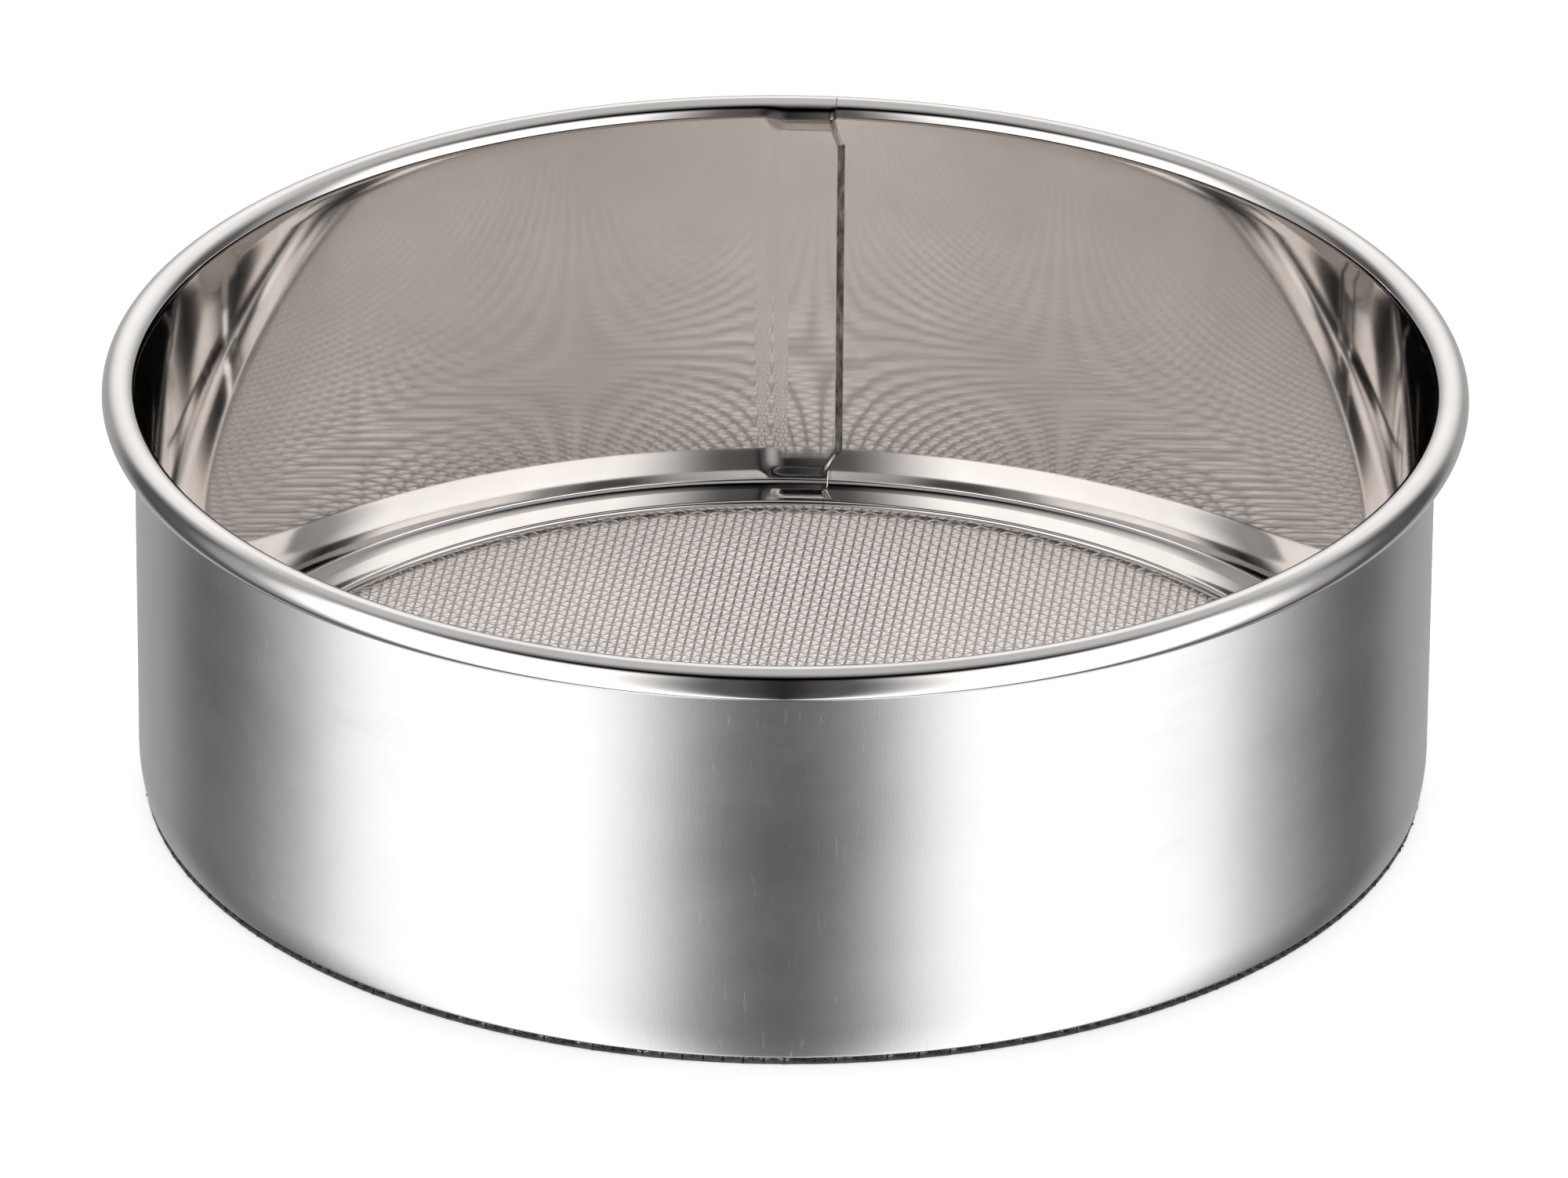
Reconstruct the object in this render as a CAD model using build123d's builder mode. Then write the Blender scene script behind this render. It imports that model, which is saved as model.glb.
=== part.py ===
"""A round hand sieve for soil: a rolled sheet-metal hoop with a woven wire mesh welded under it.

The hoop is one strip of thin sheet, bent round and lapped at the back.  Its top edge is curled
outward round a rim wire, and its bottom edge is turned inward into a flat flange, whose inner edge
is hemmed: folded back over itself towards the wall.  The mesh is a disc of straight wires in two
crossed layers, right under the flange.

Millimetres.  The origin is at the centre of the base, where the lowest wires rest, and +Z is up
along the axis of the hoop.  The lap seam is at the back, on the +Y side.
"""

import os
from math import asin, cos, degrees, floor, radians, sin

from build123d import *

# Driving dimensions: rim and hoop
rim_diameter = 240.0  # across the outside of the rolled rim
overall_height = 77.5  # from the lowest wires to the top of the rim
sheet = 0.5  # thickness of the hoop's sheet metal
curl_r = 3.1  # outside radius of the curl round the rim wire
curl_turn = 318.0  # degrees that the top edge turns through, until it nearly meets the wall
rim_wire_r = 2.5
rim_wire_gap = 0.4  # between the two cut ends of the rim wire

# Driving dimensions: bottom flange, whose bends are given at mid-thickness
flange_width = 12.0  # from the wall's inside to the hemmed inner edge
hem_r = 0.62  # bend at the flange's inner edge
hem_slope = 6.0  # degrees by which the folded-back layer comes down towards the wall
hem_length = 5.7  # of the folded-back layer, from its bend to its raw edge
corner_r = 0.9  # bend between the wall's foot and the flange
foot_r = 26.0  # gentle inward curve of the wall's foot
foot_turn = 13.0  # degrees of that curve

# Driving dimensions: lap seam, measured along the back from where the outer end stops
lap_length = 10.5  # how far the inner end of the strip reaches past the outer end
lap_joggle = 2.0  # length of the ramp by which the inner end steps inward
lap_bottom = 3.4  # height at which it starts above the flange
lap_corner = 2.6  # size of its cut corners
rim_seam = 8.9  # where the curl's two ends meet
flange_seam = 8.0  # where the flange's two ends meet
seam_width = 0.2  # width of the hairline between two ends

# Driving dimensions: mesh
wire_r = 0.21  # mesh wire
mesh_pitch = 1.74  # from one mesh wire to the next
mesh_turn = -5.9  # degrees that the weave is turned about the axis of the hoop
mesh_inset = 1.0  # how far the cut edge of the mesh stays inside the wall's outside
layer_gap = 0.02  # keeps layers that touch as separate solids

# Derived dimensions
wall_inner_r = rim_diameter / 2 - 2 * curl_r
wall_outer_r = wall_inner_r + sheet
wall_mid_r = wall_inner_r + sheet / 2
curl_centre_r = rim_diameter / 2 - curl_r
curl_centre_z = overall_height - curl_r
weft_z = wire_r
warp_z = 3 * wire_r + layer_gap
hoop_bottom = 4 * wire_r + 2 * layer_gap
underside_z = hoop_bottom + sheet / 2
mesh_r = wall_outer_r - mesh_inset
wires_each_side = floor((mesh_r - mesh_pitch / 2) / mesh_pitch)
wires_per_layer = 2 * wires_each_side + 1


def seam_angle(distance):
    """Direction, in degrees from +X, of a point this far along the back wall."""
    return 90 - degrees(asin(distance / wall_inner_r))


# Lap: the inner end of the strip ramps inward and runs behind the outer end
lap_start = seam_angle(-lap_joggle)
lap_step = seam_angle(0)
lap_end = seam_angle(lap_length)

with BuildPart() as lap:
    with BuildSketch(Plane.XY.offset(lap_bottom)):
        with BuildLine():
            outside = CenterArc((0, 0), wall_inner_r, lap_end, lap_start - lap_end)
            inside = CenterArc((0, 0), wall_inner_r - sheet, lap_end, lap_step - lap_end)
            Line(outside @ 0, inside @ 0)
            Line(outside @ 1, inside @ 1)
        make_face()
    extrude(amount=curl_centre_z - lap_bottom)
    end_face = lap.faces().sort_by(Axis.X)[-1]
    chamfer(end_face.edges().filter_by(Axis.Z, reverse=True), length=lap_corner)

# Hoop: its section at mid-thickness runs from the hem's raw edge to the curl's raw edge
hem_centre = (wall_inner_r - flange_width + sheet / 2 + hem_r, underside_z + hem_r)
foot_cos = cos(radians(foot_turn))
foot_sin = sin(radians(foot_turn))
corner_centre = (
    wall_mid_r - foot_r * (1 - foot_cos) - corner_r * foot_cos,
    underside_z + corner_r,
)
foot_centre = (wall_mid_r - foot_r, corner_centre[1] + (foot_r - corner_r) * foot_sin)

with BuildPart() as hoop:
    with BuildSketch(Plane.XZ):
        with BuildLine():
            hem = CenterArc(hem_centre, hem_r, 90 - hem_slope, 180 + hem_slope)
            PolarLine(hem @ 0, hem_length, -hem_slope)
            Line((hem_centre[0], underside_z), (corner_centre[0], underside_z))
            CenterArc(corner_centre, corner_r, 270, 90 - foot_turn)
            CenterArc(foot_centre, foot_r, -foot_turn, foot_turn)
            Line((wall_mid_r, foot_centre[1]), (wall_mid_r, curl_centre_z))
            CenterArc((curl_centre_r, curl_centre_z), curl_r - sheet / 2, 180, -curl_turn)
        trace(line_width=sheet)
    revolve(axis=Axis.Z)
    add(lap.part)
    # Hairline where the strip's outer end stops on the wall
    with PolarLocations(wall_outer_r, 1, start_angle=seam_angle(seam_width / 2)):
        with Locations((0, 0, foot_centre[1])):
            Box(
                2 * sheet,
                seam_width,
                curl_centre_z - curl_r - foot_centre[1],
                align=(Align.CENTER, Align.CENTER, Align.MIN),
                mode=Mode.SUBTRACT,
            )
    # Hairlines where the two ends meet in the curl and in the flange
    with PolarLocations(curl_centre_r + sheet, 1, start_angle=seam_angle(rim_seam)):
        with Locations((0, 0, curl_centre_z)):
            Box(2 * curl_r, seam_width, 4 * curl_r, mode=Mode.SUBTRACT)
    with PolarLocations(corner_centre[0], 1, start_angle=seam_angle(flange_seam)):
        Box(
            flange_width,
            seam_width,
            2 * lap_bottom,
            align=(Align.MAX, Align.CENTER, Align.CENTER),
            mode=Mode.SUBTRACT,
        )
    hoop.part.label = "hoop"

# Rim wire: its two cut ends face each other inside the curl, at the seam
wire_direction = radians(seam_angle(0))
wire_plane = Plane(
    origin=(0, 0, 0),
    x_dir=(cos(wire_direction), sin(wire_direction), 0),
    z_dir=(sin(wire_direction), -cos(wire_direction), 0),
)
with BuildPart() as rim_wire:
    with BuildSketch(wire_plane):
        with Locations((curl_centre_r, curl_centre_z)):
            Circle(rim_wire_r)
    revolve(axis=Axis.Z, revolution_arc=360 - degrees(rim_wire_gap / curl_centre_r))
    rim_wire.part.label = "rim_wire"


def mesh_layer(turn, height):
    """One layer of parallel wires, trimmed to the round outline of the mesh."""
    with BuildPart() as layer:
        with BuildSketch(Plane.XZ.rotated((0, 0, turn))):
            with Locations((0, height)):
                with GridLocations(mesh_pitch, 1, wires_per_layer, 1):
                    Circle(wire_r)
        extrude(amount=wall_outer_r, both=True)
        Cylinder(mesh_r, overall_height, mode=Mode.INTERSECT)
    return layer


# Mesh: warp wires run from front to back and weft wires from side to side, each a separate wire
warp_wires = mesh_layer(mesh_turn, warp_z)
warp_wires.part.label = "warp_wires"
weft_wires = mesh_layer(mesh_turn + 90, weft_z)
weft_wires.part.label = "weft_wires"

os.makedirs("parts", exist_ok=True)
for piece in (hoop, rim_wire, warp_wires, weft_wires):
    export_step(piece.part, f"parts/{piece.part.label}.step")
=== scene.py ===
"""Looks of the soil sieve: the hoop as one lapped and rolled strip, and the mesh as woven wires."""

import math
import random

import bpy
import numpy as np
from mathutils import Matrix, Vector, noise


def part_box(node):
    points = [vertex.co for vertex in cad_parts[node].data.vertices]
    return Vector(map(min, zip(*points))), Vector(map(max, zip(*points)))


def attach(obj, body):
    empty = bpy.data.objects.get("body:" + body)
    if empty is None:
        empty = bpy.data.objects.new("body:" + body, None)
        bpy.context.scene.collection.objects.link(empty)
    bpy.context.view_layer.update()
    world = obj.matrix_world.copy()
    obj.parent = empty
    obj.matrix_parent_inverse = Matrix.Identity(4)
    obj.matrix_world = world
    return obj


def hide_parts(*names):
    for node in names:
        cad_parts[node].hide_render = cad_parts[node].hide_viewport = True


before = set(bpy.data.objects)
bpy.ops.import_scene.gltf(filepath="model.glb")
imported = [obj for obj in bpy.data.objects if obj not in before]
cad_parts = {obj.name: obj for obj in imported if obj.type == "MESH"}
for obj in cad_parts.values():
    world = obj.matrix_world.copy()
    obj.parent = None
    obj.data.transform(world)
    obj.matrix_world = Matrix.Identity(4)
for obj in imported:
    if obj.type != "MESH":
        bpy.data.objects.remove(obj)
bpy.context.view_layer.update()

MM = 0.001
BODY = "root"

# Hoop, in metres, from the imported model's box and the sheet's own sizes
HOOP_LOW, HOOP_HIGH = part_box("hoop")
BOX_MARGIN = 0.01 * MM
RIM_R = round(HOOP_HIGH.x / MM) * MM - BOX_MARGIN
RIM_TOP = HOOP_HIGH.z
HOOP_BOTTOM = HOOP_LOW.z
SHEET = 0.5 * MM
CURL_R = 3.1 * MM
CURL_TURN = math.radians(318)
WALL_IN = RIM_R - 2 * CURL_R
WALL_OUT = WALL_IN + SHEET
ROUND_TRIP = 2 * math.pi * WALL_IN
FLANGE_WIDTH = 12.0 * MM
HEM_R = 0.62 * MM
HEM_SLOPE = math.radians(6)
HEM_LENGTH = 5.7 * MM
CORNER_R = 0.9 * MM
FOOT_R = 26.0 * MM
FOOT_TURN = math.radians(13)

# Lap seam at the back: distances along the wall from where the outer end stops
LAP_LENGTH = 10.5 * MM
LAP_RAMP = 5.0 * MM
LAP_LOW = 3.4 * MM
RIM_SEAM = 8.9 * MM
FLANGE_SEAM = 8.0 * MM
SEAM_GAP = 0.12 * MM
TIP_BEND = 1.2 * MM
LAP_STEP = SHEET + 0.10 * MM

# Heights between which the seam's line and the lap's tip, step and waves come in or go out
SEAM_LOW = (LAP_LOW - 0.6 * MM, LAP_LOW + 2.6 * MM)
SEAM_HIGH = (RIM_TOP - 6.4 * MM, RIM_TOP - 4.2 * MM)
TIP_LOW = (LAP_LOW, LAP_LOW + 4.4 * MM)
TIP_HIGH = (RIM_TOP - 8.0 * MM, RIM_TOP - 4.6 * MM)
STEP_LOW = (LAP_LOW - 1.4 * MM, LAP_LOW + 1.6 * MM)
STEP_HIGH = (RIM_TOP - 4.0 * MM, RIM_TOP - 0.9 * MM)
WAVE_LOW = (LAP_LOW, LAP_LOW + 6 * MM)
WAVE_HIGH = (RIM_TOP - 12 * MM, RIM_TOP - 4 * MM)

# Stretches of the strip whose columns stand closer together
START_ZONE = 14 * MM
END_ZONE = 6 * MM
TIP_ZONE = 1.5 * MM

# Mesh
WIRE_R = 0.21 * MM
PITCH = 1.74 * MM
WEAVE_TURN = math.radians(-5.9)
MESH_R = WALL_OUT - 1.0 * MM
WIRE_END = 1.0 * MM
HALF_LAYER_GAP = 0.01 * MM
WIRE_SHIFT = 0.02
CUT_SHIFT = 0.25
SWAY = 0.03 * MM
SWAY_LENGTH = 23 * MM


# ---------------------------------------------------------------- small helpers


def rise(low, high, x):
    """0 below low, 1 above high, and a straight rise between."""
    return np.clip((x - low) / (high - low), 0.0, 1.0)


def smooth(low, high, x):
    """0 below low, 1 above high, and a smooth step between."""
    t = rise(low, high, x)
    return t * t * (3 - 2 * t)


def make_mesh(name, points, quads, materials, face_materials=None, sharp_angle=40):
    """A mesh object from points and quads, smooth shaded, with hard edges where it turns sharply."""
    mesh = bpy.data.meshes.new(name)
    mesh.vertices.add(len(points))
    mesh.vertices.foreach_set("co", np.asarray(points, np.float32).ravel())
    mesh.loops.add(4 * len(quads))
    mesh.loops.foreach_set("vertex_index", np.asarray(quads, np.int32).ravel())
    mesh.polygons.add(len(quads))
    mesh.polygons.foreach_set("loop_start", np.arange(0, 4 * len(quads), 4, dtype=np.int32))
    for material in materials:
        mesh.materials.append(material)
    if face_materials is not None:
        mesh.polygons.foreach_set("material_index", np.asarray(face_materials, np.int32))
    mesh.update(calc_edges=True)
    mesh.validate()
    mesh.shade_smooth()
    if sharp_angle:
        mesh.set_sharp_from_angle(angle=math.radians(sharp_angle))
    piece = bpy.data.objects.new(name, mesh)
    bpy.context.scene.collection.objects.link(piece)
    return piece


def grid_quads(rows, columns, first=0, flip=False):
    """Quads of a grid whose points are stored row by row."""
    r, c = np.meshgrid(np.arange(rows - 1), np.arange(columns - 1), indexing="ij")
    a = first + r * columns + c
    quads = np.stack([a, a + 1, a + columns + 1, a + columns], axis=-1).reshape(-1, 4)
    return quads[:, ::-1] if flip else quads


# ---------------------------------------------------------------- materials


class Shader:
    """A node tree with one Principled shader, built up by short calls."""

    def __init__(self, name):
        self.material = bpy.data.materials.new(name)
        self.material.use_nodes = True
        self.nodes = self.material.node_tree.nodes
        self.links = self.material.node_tree.links
        self.bsdf = self.nodes["Principled BSDF"]

    def node(self, kind, **settings):
        made = self.nodes.new(kind)
        for key, value in settings.items():
            setattr(made, key, value)
        return made

    def set(self, socket, value):
        self.bsdf.inputs[socket].default_value = value

    def link(self, source, target):
        self.links.new(source, target)

    def math(self, operation, a, b=None):
        made = self.node("ShaderNodeMath", operation=operation)
        for socket, value in zip(made.inputs, (a, b)):
            self.feed(socket, value)
        return made.outputs[0]

    def feed(self, socket, value):
        if isinstance(value, bpy.types.NodeSocket):
            self.link(value, socket)
        elif value is not None:
            socket.default_value = value

    def axes(self):
        split = self.node("ShaderNodeSeparateXYZ")
        self.link(self.place(), split.inputs[0])
        return split.outputs

    def around(self, radius):
        """Coordinates on the unrolled wall, in metres: along the strip, 0, height."""
        x, y, z = self.axes()
        angle = self.math("ARCTAN2", x, self.math("MULTIPLY", y, -1.0))
        joined = self.node("ShaderNodeCombineXYZ")
        self.link(self.math("MULTIPLY", angle, radius), joined.inputs[0])
        self.link(z, joined.inputs[2])
        return joined.outputs[0]

    def place(self):
        return self.node("ShaderNodeTexCoord").outputs["Object"]

    def radius(self):
        """Distance from the axis of the hoop, in metres."""
        flat = self.node("ShaderNodeVectorMath", operation="LENGTH")
        self.link(self.stretched(self.place(), (1.0, 1.0, 0.0)), flat.inputs[0])
        return flat.outputs["Value"]

    def stretched(self, vector, scale):
        made = self.node("ShaderNodeMapping")
        self.link(vector, made.inputs["Vector"])
        made.inputs["Scale"].default_value = scale
        return made.outputs[0]

    def noise(self, vector, scale, detail=3.0, roughness=0.5):
        made = self.node("ShaderNodeTexNoise")
        self.link(vector, made.inputs["Vector"])
        made.inputs["Scale"].default_value = scale
        made.inputs["Detail"].default_value = detail
        made.inputs["Roughness"].default_value = roughness
        return made.outputs["Fac"]

    def between(self, value, low, high, soft):
        """1 where the value lies from low to high, falling to 0 over soft on either side."""
        steps = []
        for edge, inside in ((low, 1), (high, -1)):
            made = self.node("ShaderNodeMapRange", interpolation_type="SMOOTHSTEP")
            self.link(value, made.inputs["Value"])
            made.inputs["From Min"].default_value = edge - inside * soft
            made.inputs["From Max"].default_value = edge
            steps.append(made.outputs[0])
        return self.math("MULTIPLY", *steps)

    def ramp(self, value, stops):
        """stops: (position, grey or colour) pairs."""
        made = self.node("ShaderNodeValToRGB")
        self.link(value, made.inputs[0])
        band = made.color_ramp
        while len(band.elements) < len(stops):
            band.elements.new(0.5)
        for element, (position, colour) in zip(band.elements, stops):
            element.position = position
            tone = colour if isinstance(colour, tuple) else (colour,) * 3
            element.color = (*tone, 1.0)
        return made.outputs[0]

    def mix(self, fac, a, b, kind="MIX"):
        made = self.node("ShaderNodeMix", data_type="RGBA", blend_type=kind)
        self.feed(made.inputs[0], fac)
        for socket, value in ((made.inputs[6], a), (made.inputs[7], b)):
            self.feed(socket, (*value, 1.0) if isinstance(value, tuple) else value)
        return made.outputs[2]

    def bump(self, height, strength, distance, under=None):
        made = self.node("ShaderNodeBump")
        made.inputs["Strength"].default_value = strength
        made.inputs["Distance"].default_value = distance
        self.link(height, made.inputs["Height"])
        if under is not None:
            self.link(under, made.inputs["Normal"])
        return made.outputs[0]


def polished_steel():
    """The sheet's bright side: near mirror, with faint rolling lines, smudges, and a painted shadow
    along the lap's end, where it is also rougher.
    """
    s = Shader("polished_steel")
    s.set("Metallic", 1.0)
    strip = s.around(WALL_IN)
    smudge = s.noise(s.place(), 26.0, 4.0, 0.6)
    lines = s.noise(s.stretched(strip, (18.0, 1.0, 2600.0)), 1.0, 2.0)
    clean = s.ramp(smudge, [(0.35, (0.80, 0.775, 0.755)), (0.75, (0.71, 0.685, 0.665))])

    # painted shadow: a dark strip along the end of the lap, which is also rougher there
    x, y, z = s.axes()
    tip = s.between(x, LAP_LENGTH - TIP_BEND, LAP_LENGTH, 0.15 * MM)
    tip = s.math("MULTIPLY", tip, s.between(z, LAP_LOW + 3.6 * MM, RIM_TOP - 8.2 * MM, 0.5 * MM))
    tip = s.math("MULTIPLY", tip, s.math("GREATER_THAN", y, 0.0))
    # patches in the painted shade along the lap's end
    patches_and_shade = s.noise(s.stretched(s.place(), (900.0, 1.0, 260.0)), 1.0, 3.0)
    tip = s.math("MULTIPLY", tip, s.ramp(patches_and_shade, [(0.3, 0.6), (0.6, 1.0)]))
    # painted shade: the base colour goes near black along the lap's end
    s.link(s.mix(tip, clean, (0.12, 0.115, 0.115)), s.bsdf.inputs["Base Color"])
    rough = s.math("MULTIPLY_ADD", smudge, 0.05)
    rough.node.inputs[2].default_value = 0.03
    s.link(s.math("MAXIMUM", rough, s.math("MULTIPLY", tip, 0.35)), s.bsdf.inputs["Roughness"])
    s.link(s.bump(lines, 0.035, 0.00002), s.bsdf.inputs["Normal"])
    return s.material


def satin_steel():
    """The sheet's dull side: soft reflections, fine grain, scuffs and faint brownish marks."""
    s = Shader("satin_steel")
    s.set("Metallic", 1.0)
    strip = s.around(WALL_OUT)
    cloud = s.noise(s.stretched(strip, (1.0, 1.0, 1.6)), 22.0, 5.0, 0.62)
    stain = s.noise(s.stretched(strip, (9.0, 1.0, 40.0)), 1.0, 4.0, 0.65)
    grain = s.noise(s.stretched(strip, (2400.0, 1.0, 420.0)), 1.0, 2.0)
    scuff = s.noise(s.stretched(strip, (900.0, 1.0, 130.0)), 1.0, 3.0, 0.7)
    clean = s.ramp(cloud, [(0.3, (0.64, 0.64, 0.655)), (0.7, (0.72, 0.72, 0.73))])
    mark = s.ramp(stain, [(0.60, 0.0), (0.78, 0.55)])
    s.link(s.mix(mark, clean, (0.60, 0.52, 0.46)), s.bsdf.inputs["Base Color"])
    scratch = s.ramp(scuff, [(0.62, 0.0), (0.80, 1.0)])
    rough = s.math("MULTIPLY_ADD", scratch, 0.10)
    base = s.math("MULTIPLY_ADD", cloud, 0.10)
    base.node.inputs[2].default_value = 0.22
    s.link(base, rough.node.inputs[2])
    s.link(rough, s.bsdf.inputs["Roughness"])
    fine = s.bump(grain, 0.12, 0.00003)
    s.link(s.bump(scratch, 0.05, 0.00003, under=fine), s.bsdf.inputs["Normal"])
    return s.material


def mesh_wire_steel(name, painted_shade_factor):
    """Drawn wire: warm grey, satin, with soft patches of tone; the cut ends under the flange are
    painted dark as shade.

    The factor darkens one layer as painted shade, so that the weave shows its slanted stripes.
    """
    s = Shader(name)
    s.set("Metallic", 1.0)
    tone = s.noise(s.place(), 60.0, 3.0, 0.6)
    patch = s.noise(s.place(), 14.0, 3.0, 0.6)
    warm = s.ramp(tone, [(0.3, (0.86, 0.79, 0.745)), (0.7, (0.94, 0.87, 0.825))])
    patches_and_shade = s.mix(s.ramp(patch, [(0.45, 0.0), (0.75, 0.35)]), warm, (0.80, 0.73, 0.685))
    # painted shade: one layer's colour is multiplied darker, as if it caught less light
    patches_and_shade = s.mix(1.0, patches_and_shade, (painted_shade_factor, painted_shade_factor, painted_shade_factor), kind="MULTIPLY")
    # painted shade: the wire ends under the flange are coloured near black
    painted_shade_at_end = s.math("GREATER_THAN", s.radius(), MESH_R - WIRE_END)
    s.link(s.mix(painted_shade_at_end, patches_and_shade, (0.10, 0.09, 0.085)), s.bsdf.inputs["Base Color"])
    rough = s.math("MULTIPLY_ADD", tone, 0.15)
    rough.node.inputs[2].default_value = 0.40
    s.link(rough, s.bsdf.inputs["Roughness"])
    return s.material


def core_wire_steel():
    """The rim's core wire: drawn steel, duller and darker than the sheet."""
    s = Shader("core_wire_steel")
    s.set("Metallic", 1.0)
    tone = s.noise(s.place(), 90.0, 3.0, 0.6)
    s.link(s.ramp(tone, [(0.3, (0.30, 0.29, 0.28)), (0.7, (0.42, 0.41, 0.40))]),
           s.bsdf.inputs["Base Color"])
    rough = s.math("MULTIPLY_ADD", tone, 0.3)
    rough.node.inputs[2].default_value = 0.3
    s.link(rough, s.bsdf.inputs["Roughness"])
    return s.material


# ---------------------------------------------------------------- hoop


def arc(centre, radius, start, turn, count):
    """Points of an arc in the section, from angle start through turn, both in radians."""
    angles = start + turn * np.linspace(0, 1, count)
    return np.stack([centre[0] + radius * np.cos(angles), centre[1] + radius * np.sin(angles)], 1)


def hoop_section():
    """The strip at mid-thickness, from the hem's raw edge to the curl's raw edge, as (r, z).

    Also how many points there are up to the end of each of its runs.
    """
    underside = HOOP_BOTTOM + SHEET / 2
    wall_mid = WALL_IN + SHEET / 2
    hem = (WALL_IN - FLANGE_WIDTH + SHEET / 2 + HEM_R, underside + HEM_R)
    hem_cos, hem_sin = math.cos(HEM_SLOPE), math.sin(HEM_SLOPE)
    hem_top = (hem[0] + HEM_R * hem_sin, hem[1] + HEM_R * hem_cos)
    raw_edge = (hem_top[0] + HEM_LENGTH * hem_cos, hem_top[1] - HEM_LENGTH * hem_sin)
    foot_cos, foot_sin = math.cos(FOOT_TURN), math.sin(FOOT_TURN)
    corner = (wall_mid - FOOT_R * (1 - foot_cos) - CORNER_R * foot_cos, underside + CORNER_R)
    foot = (wall_mid - FOOT_R, corner[1] + (FOOT_R - CORNER_R) * foot_sin)
    curl = (RIM_R - CURL_R, RIM_TOP - CURL_R)
    wall = np.linspace(0, 1, 25)[1:-1, None]
    down = -math.pi / 2
    runs = [
        np.linspace(raw_edge, hem_top, 8),
        arc(hem, HEM_R, -down - HEM_SLOPE, math.pi + HEM_SLOPE, 15)[1:],
        np.linspace((hem[0], underside), (corner[0], underside), 10)[1:],
        arc(corner, CORNER_R, down, -down - FOOT_TURN, 12)[1:],
        arc(foot, FOOT_R, -FOOT_TURN, FOOT_TURN, 9)[1:],
        (wall_mid, foot[1]) + wall * (0, curl[1] - foot[1]),
        arc(curl, CURL_R - SHEET / 2, math.pi, -CURL_TURN, 46),
    ]
    counts = np.cumsum([len(run) for run in runs])
    return np.concatenate(runs), counts


def hoop_columns():
    """Distances round the wall, from the outer end at the back to past the same place again."""
    strip_end = ROUND_TRIP + LAP_LENGTH
    start = np.linspace(0, START_ZONE, 15)
    middle = np.linspace(START_ZONE, ROUND_TRIP - END_ZONE, 350)[1:-1]
    overlap = np.linspace(ROUND_TRIP - END_ZONE, strip_end - TIP_ZONE, 31)[:-1]
    tip = np.linspace(strip_end - TIP_ZONE, strip_end, 11)
    return np.concatenate([start, middle, overlap, tip])


def waviness(along, height):
    """How far the thin wall stands off a true cylinder: long shallow waves, more near the seam."""
    angle = 2 * math.pi * along / ROUND_TRIP
    turn = Vector((math.cos(angle), math.sin(angle), 0))
    up = Vector((0, 0, height / RIM_TOP))
    wave = noise.noise(2.2 * turn + 2.25 * up)
    fine = noise.noise(7 * turn + 2.5 * up + Vector((0, 0, 2)))
    to_seam = min(along, ROUND_TRIP - along) if along < ROUND_TRIP else along - ROUND_TRIP
    near_seam = math.exp(-((to_seam / (22 * MM)) ** 2))
    return (0.05 * wave + (0.008 + 0.03 * near_seam) * fine) * MM


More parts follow.
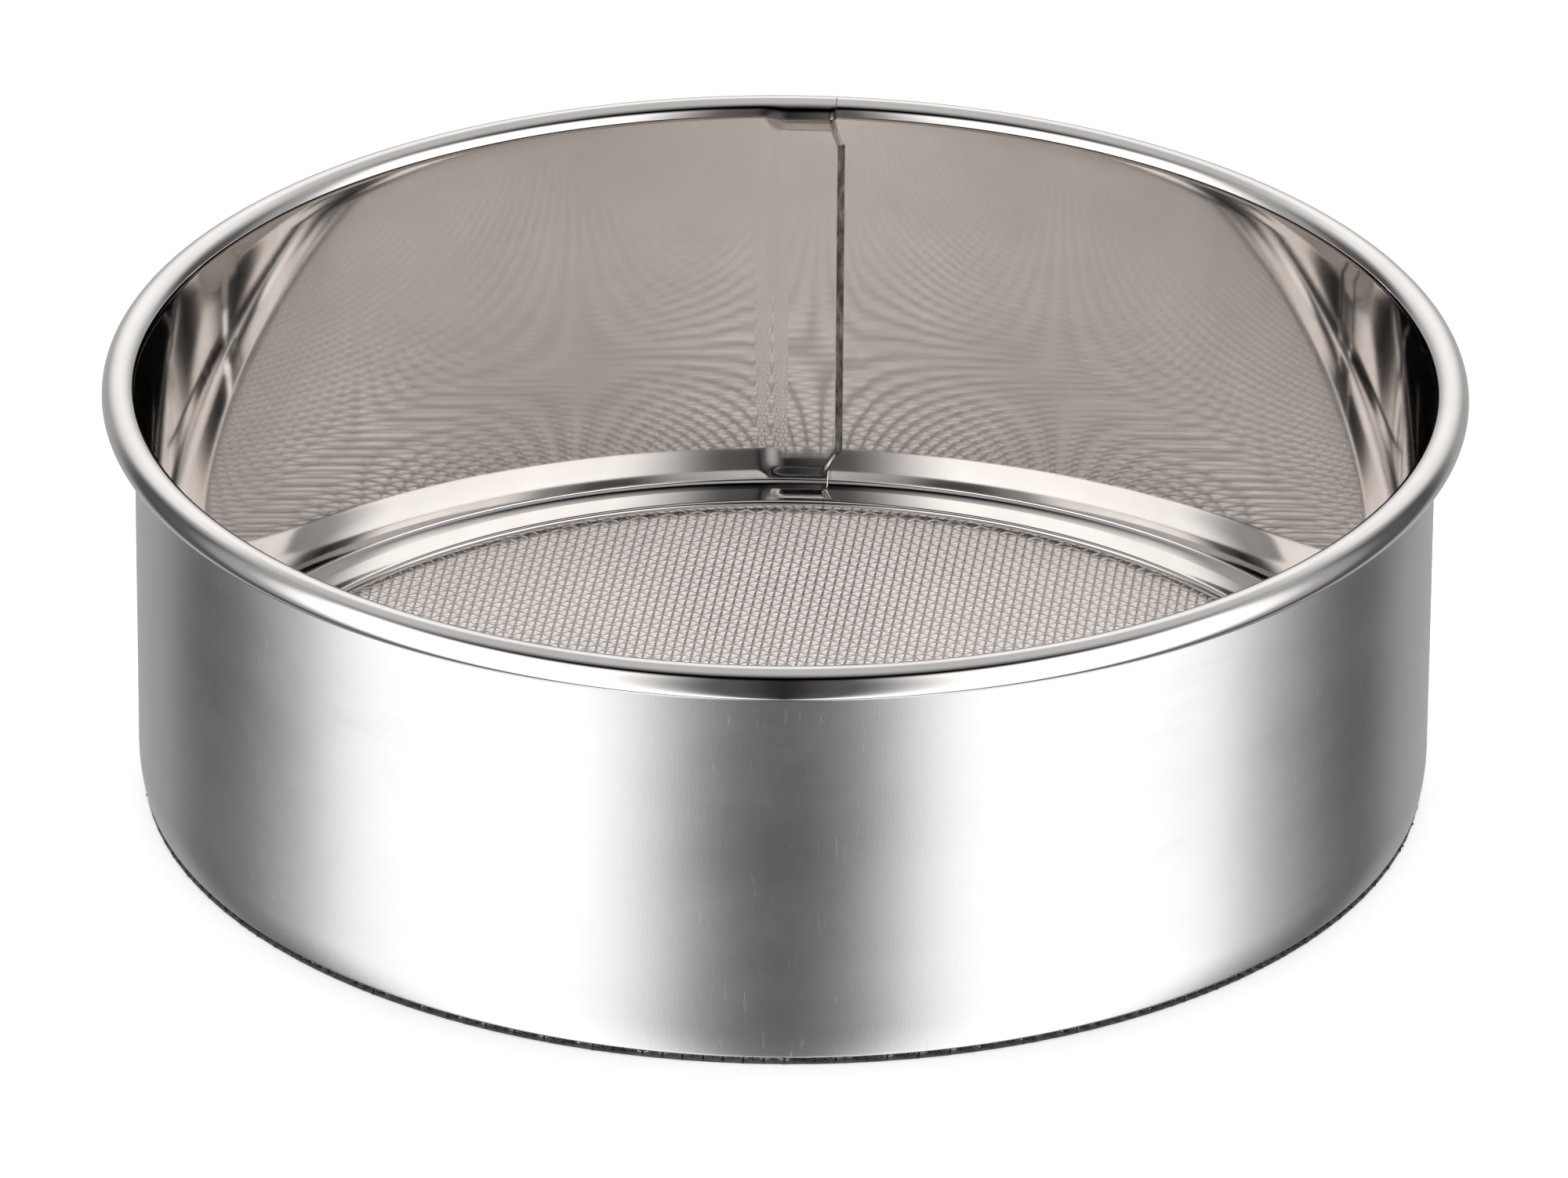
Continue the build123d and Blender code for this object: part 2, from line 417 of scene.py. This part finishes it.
def make_hoop(bright, satin):
    """The whole strip, bent round and lapped at the back; bright inside, satin outside."""
    section, counts = hoop_section()
    wall_first, wall_last = counts[3], counts[5]
    columns = hoop_columns()
    rows, count = len(section), len(columns)
    tangent = np.gradient(section, axis=0)
    tangent /= np.linalg.norm(tangent, axis=1)[:, None]
    normal = np.stack([tangent[:, 1], -tangent[:, 0]], 1)
    height = section[:, 1]
    row = np.arange(rows)
    on_wall = (row >= wall_first) & (row < wall_last)
    on_flange = row < wall_first

    # where the strip starts on each row: at the flange and the curl its ends meet further along
    low_cut = 1 - smooth(*SEAM_LOW, height)
    high_cut = smooth(*SEAM_HIGH, height)
    off_wall = np.where(on_flange, FLANGE_SEAM, RIM_SEAM)
    begin = np.where(on_wall, FLANGE_SEAM * low_cut + RIM_SEAM * high_cut, off_wall)

    # where it ends: past its own start, with its corners cut off
    low_reach = FLANGE_SEAM + (LAP_LENGTH - FLANGE_SEAM) * rise(*TIP_LOW, height)
    high_reach = RIM_SEAM + (LAP_LENGTH - RIM_SEAM) * (1 - rise(*TIP_HIGH, height))
    reach = np.where(on_wall, np.minimum(low_reach, high_reach), off_wall)
    finish = ROUND_TRIP + reach - SEAM_GAP

    # how much of the lap's inward step each row takes
    stepped = smooth(*STEP_LOW, height) * (1 - smooth(*STEP_HIGH, height))
    before_crest = (row >= wall_first) & (row < np.argmax(height))
    step = np.where(before_crest, stepped, 0.0)
    fade = smooth(*WAVE_LOW, height) * (1 - smooth(*WAVE_HIGH, height))

    faces = []
    for side in (1, -1):
        points = np.zeros((rows, count, 3))
        for c, along in enumerate(columns):
            t_start = 1 - rise(0, START_ZONE, along)
            t_end = rise(ROUND_TRIP - END_ZONE, ROUND_TRIP + LAP_LENGTH, along)
            place = along + t_start * begin + t_end * (finish - ROUND_TRIP - LAP_LENGTH)
            inward = step * smooth(ROUND_TRIP - LAP_RAMP, ROUND_TRIP, place) * LAP_STEP
            inward = inward * (1 - 0.5 * smooth(finish - TIP_BEND, finish, place))
            wave = np.array([waviness(p, h) if w else 0.0 for p, h, w in zip(place, height, on_wall)])
            out = side * SHEET / 2 - inward + wave * fade
            r = section[:, 0] + normal[:, 0] * out
            z = section[:, 1] + normal[:, 1] * out
            angle = place / WALL_IN
            points[:, c] = np.stack([r * np.sin(angle), r * np.cos(angle), z], 1)
        faces.append(points.reshape(-1, 3))

    per_side = rows * count
    outer = grid_quads(rows, count)
    inner = grid_quads(rows, count, per_side, flip=True)
    index = np.arange(per_side).reshape(rows, count)
    rim = np.concatenate([index[0, :-1], index[:-1, -1], index[-1, :0:-1], index[:0:-1, 0]])
    ahead = np.roll(rim, -1)
    edge = np.stack([rim, rim + per_side, ahead + per_side, ahead], 1)
    quads = np.concatenate([outer, inner, edge])

    # the strip's outer side is satin, but the hem turns it up among the bright surfaces
    finish_of = np.concatenate([np.ones(len(outer)), np.zeros(len(inner)), np.ones(len(edge))])
    row_of = np.repeat(np.arange(rows - 1), count - 1)
    finish_of[: len(outer)][row_of < counts[1]] = 0
    piece = make_mesh("hoop_sheet", np.concatenate(faces), quads, [bright, satin], finish_of)
    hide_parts("hoop")
    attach(piece, BODY)


# ---------------------------------------------------------------- woven mesh


def make_layer(name, node, turn, sign, material, rng, sections=4):
    """One layer of crimped wires, in a few pieces side by side."""
    sides, steps = 6, 4
    middle = 2 * WIRE_R + HALF_LAYER_GAP
    each_side = int((MESH_R - PITCH / 2) / PITCH)
    ring = 2 * math.pi * (np.arange(sides) + 0.5) / sides
    cos_turn, sin_turn = math.cos(turn), math.sin(turn)
    wires = list(range(-each_side, each_side + 1))
    share = math.ceil(len(wires) / sections)
    for part in range(sections):
        points, quads, first = [], [], 0
        for wire in wires[part * share:(part + 1) * share]:
            across = wire * PITCH + rng.uniform(-WIRE_SHIFT, WIRE_SHIFT) * MM
            drift = rng.uniform(0, 2 * math.pi)
            half = math.sqrt(MESH_R**2 - across**2)
            low = -half - rng.uniform(-CUT_SHIFT, CUT_SHIFT) * MM
            high = half + rng.uniform(-CUT_SHIFT, CUT_SHIFT) * MM
            along = np.arange(math.ceil(low / PITCH * steps), math.floor(high / PITCH * steps) + 1)
            along = np.concatenate([[low], along * PITCH / steps, [high]])
            over = sign * (1 if wire % 2 else -1)
            up = middle + over * WIRE_R * np.cos(math.pi * along / PITCH)
            aside = across + SWAY * np.sin(along / SWAY_LENGTH + drift)
            slope = np.gradient(up, along)
            lean = 1 / np.sqrt(1 + slope**2)
            x = aside[:, None] + WIRE_R * np.cos(ring)[None, :]
            y = along[:, None] - WIRE_R * np.sin(ring)[None, :] * (slope * lean)[:, None]
            z = up[:, None] + WIRE_R * np.sin(ring)[None, :] * lean[:, None]
            turned = np.stack([x * cos_turn - y * sin_turn, x * sin_turn + y * cos_turn, z], -1)
            rows = len(along)
            points.append(turned.reshape(-1, 3))
            r, c = np.meshgrid(np.arange(rows - 1), np.arange(sides), indexing="ij")
            a = first + r * sides + c
            b = first + r * sides + (c + 1) % sides
            quads.append(np.stack([a, a + sides, b + sides, b], -1).reshape(-1, 4))
            for end, order in ((0, 1), (rows - 1, -1)):
                cap = first + end * sides + np.arange(sides)[::order]
                quads.append(np.array([cap[[0, 1, 2, 3]], cap[[0, 3, 4, 5]]]))
            first += rows * sides
        piece = make_mesh(f"{name}_{part + 1}", np.concatenate(points), np.concatenate(quads),
                          [material], sharp_angle=70)
        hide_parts(node)
        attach(piece, BODY)


# ---------------------------------------------------------------- stage


def floor_material(name, glow, shaded=False):
    """Pale paper with a little even light of its own; if shaded, dark where the flange covers it."""
    s = Shader(name)
    tone = s.noise(s.place(), 3.0, 2.0)
    paper = s.ramp(tone, [(0.3, 0.86), (0.7, 0.90)])
    if shaded:
        covered = s.between(s.radius(), WALL_IN - FLANGE_WIDTH + 2 * MM, WALL_OUT, 1.2 * MM)
        paper = s.mix(covered, paper, (0.20, 0.185, 0.17))
    s.link(paper, s.bsdf.inputs["Base Color"])
    s.set("Roughness", 0.9)
    s.set("Specular IOR Level", 0.1)
    s.set("Emission Color", (1.0, 1.0, 1.0, 1.0))
    s.set("Emission Strength", glow)
    return s.material


def make_floor():
    """Pale paper: a wide sheet with a round hole, and the disc that fills the hole under the sieve.

    Only the disc shows in the steel, so the wall's outer side keeps the plain light of the room.
    Its dark ring below the flange stands for the contact shadow there.
    """
    disc_r, centre_r, far, around = MESH_R, 0.01 * MM, 8.0, 128
    angles = 2 * math.pi * np.arange(around + 1) / around
    ring = np.stack([np.cos(angles), np.sin(angles), np.zeros(around + 1)], 1)
    quads = grid_quads(2, around + 1, flip=True)
    sheet = make_mesh("floor", np.concatenate([disc_r * ring, far * ring]), quads,
                      [floor_material("floor_paper", 0.3)], sharp_angle=None)
    sheet.visible_glossy = False
    sheet.visible_shadow = False
    disc = make_mesh("floor_under_sieve", np.concatenate([centre_r * ring, disc_r * ring]), quads,
                     [floor_material("shaded_paper", 0.02, shaded=True)], sharp_angle=None)
    disc.visible_shadow = False


def studio_world():
    """A dim room round the sieve: a wide soft box on each side, dark by the camera, a pale back."""
    world = bpy.data.worlds.new("studio")
    world.use_nodes = True
    bpy.context.scene.world = world
    tree = world.node_tree
    nodes, links = tree.nodes, tree.links
    back = nodes["Background"]

    def calc(operation, a, b=None, c=None):
        made = nodes.new("ShaderNodeMath")
        made.operation = operation
        for socket, value in zip(made.inputs, (a, b, c)):
            if isinstance(value, bpy.types.NodeSocket):
                links.new(value, socket)
            elif value is not None:
                socket.default_value = value
        return made.outputs[0]

    def fade(value, low, high):
        """0 at low, 1 at high and soft between; low may be the larger."""
        made = nodes.new("ShaderNodeMapRange")
        made.interpolation_type = "SMOOTHSTEP"
        links.new(value, made.inputs["Value"])
        made.inputs["From Min"].default_value = low
        made.inputs["From Max"].default_value = high
        return made.outputs[0]

    direction = nodes.new("ShaderNodeTexCoord").outputs["Generated"]
    split = nodes.new("ShaderNodeSeparateXYZ")
    links.new(direction, split.inputs[0])
    x, y, z = split.outputs
    turn = calc("DIVIDE", calc("ABSOLUTE", calc("ARCTAN2", x, calc("MULTIPLY", y, -1.0))), math.pi)

    # strength round the horizon, by degrees away from the camera's side
    brightest = 1.7
    horizon = nodes.new("ShaderNodeValToRGB")
    horizon.color_ramp.interpolation = "EASE"
    stops = [(0, 0.03), (10, 0.12), (34, 1.6), (52, 1.7), (78, 1.5), (98, 0.42), (114, 0.12),
             (126, 0.10), (144, 0.42), (180, 0.55)]
    band = horizon.color_ramp
    while len(band.elements) < len(stops):
        band.elements.new(0.5)
    for element, (degrees, strength) in zip(band.elements, stops):
        element.position = degrees / 180
        element.color = (strength / brightest,) * 3 + (1.0,)
    links.new(turn, horizon.inputs[0])
    sides = calc("MULTIPLY", horizon.outputs[0], brightest)
    sides = calc("MULTIPLY", sides, fade(z, 0.80, 0.60))

    # the ceiling, brighter towards the back
    overhead = calc("MULTIPLY_ADD", z, 0.8, calc("MULTIPLY", y, 0.5))
    ceiling = calc("MULTIPLY", fade(overhead, 0.45, 0.85), 0.62)
    back.inputs["Color"].default_value = (1.0, 1.0, 1.0, 1.0)
    links.new(calc("ADD", sides, ceiling), back.inputs["Strength"])


def area_light(name, place, target, size, power):
    """A soft box that lights the scene but doesn't show in the steel."""
    lamp = bpy.data.lights.new(name, "AREA")
    lamp.shape = "RECTANGLE"
    lamp.size, lamp.size_y = size
    lamp.energy = power
    thing = bpy.data.objects.new(name, lamp)
    bpy.context.scene.collection.objects.link(thing)
    thing.location = place
    thing.rotation_euler = (Vector(target) - Vector(place)).to_track_quat("-Z", "Y").to_euler()
    thing.visible_glossy = False


def make_camera():
    """A long lens in front and above, looking down at the sieve."""
    pitch, roll = math.radians(26.19), math.radians(0.41)
    forward = Vector((0, math.cos(pitch), -math.sin(pitch)))
    right = Vector((1, 0, 0))
    up = right.cross(forward)
    tilted_right = math.cos(roll) * right + math.sin(roll) * up
    tilted_up = math.cos(roll) * up - math.sin(roll) * right
    lens = bpy.data.cameras.new("camera")
    lens.sensor_width = 36.0
    lens.lens = 332.3
    lens.clip_end = 50
    camera = bpy.data.objects.new("camera", lens)
    bpy.context.scene.collection.objects.link(camera)
    turn = Matrix((tilted_right, tilted_up, -forward)).transposed()
    camera.matrix_world = Matrix.Translation((0, -2.296, 1.164)) @ turn.to_4x4()
    bpy.context.scene.camera = camera


make_camera()
studio_world()
make_floor()
area_light("top_softbox", (0, 0.1, 1.6), (0, 0, 0), (1.6, 1.2), 22)
make_hoop(polished_steel(), satin_steel())
seeded = random.Random(7)
# the warp layer gets the painted shade that darkens it against the weft
make_layer("warp_weave", "warp_wires", WEAVE_TURN, 1,
           mesh_wire_steel("warp_wire_steel_painted_shade", 0.74), seeded)
make_layer("weft_weave", "weft_wires", WEAVE_TURN + math.pi / 2, -1,
           mesh_wire_steel("weft_wire_steel", 1.0), seeded)
rim_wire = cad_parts["rim_wire"]
rim_wire.data.materials.clear()
rim_wire.data.materials.append(core_wire_steel())
bpy.context.scene.view_settings.view_transform = "Standard"
